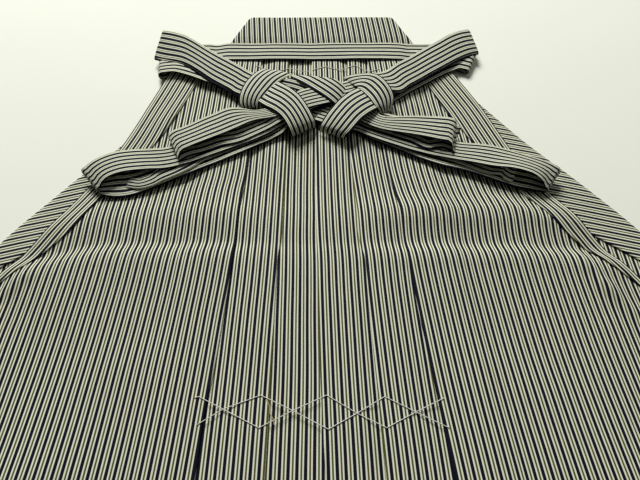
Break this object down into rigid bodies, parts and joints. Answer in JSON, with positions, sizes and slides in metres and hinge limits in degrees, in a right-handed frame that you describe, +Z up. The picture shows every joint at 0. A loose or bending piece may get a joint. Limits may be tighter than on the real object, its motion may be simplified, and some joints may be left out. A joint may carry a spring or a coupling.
{
  "type": "hakama trousers",
  "caption": "Striped pleated wide-leg hakama trousers laid out flat, front up, with a back board and long ties folded and wrapped in a flat knot.",
  "frame": {"origin": "on the surface the garment lies on, in the middle of its length and of its width", "axes": "+Y from the hem to the back board, +X to the right of someone looking at the front, +Z up out of the front"},
  "size_m": [0.78, 0.982, 0.0225],
  "materials": {
    "striped_cloth": "fine woven stripe in navy, cream and olive green with a slight sheen",
    "striped_tie": "the same stripe running along the ties and the waistband",
    "striped_board": "the same stripe over a stiff board"
  },
  "bodies": {
    "root": {"back_left": "striped_cloth", "back_right": "striped_cloth", "back_slit_facing_left": "striped_cloth", "back_slit_facing_right": "striped_cloth", "gusset": "striped_cloth", "front_left": "striped_cloth", "front_right": "striped_cloth", "side_pleat_left": "striped_cloth", "side_pleat_right": "striped_cloth", "waistband": "striped_tie", "front_tie_left": "striped_tie", "front_tie_right": "striped_tie", "back_tie_left": "striped_tie", "back_tie_right": "striped_tie", "back_tie_left_wrap": "striped_tie", "back_tie_left_lower_wrap": "striped_tie", "back_tie_middle_wrap": "striped_tie", "back_tie_right_wrap": "striped_tie", "back_tie_right_lower_wrap": "striped_tie", "back_board": "striped_board"}
  },
  "joints": []
}
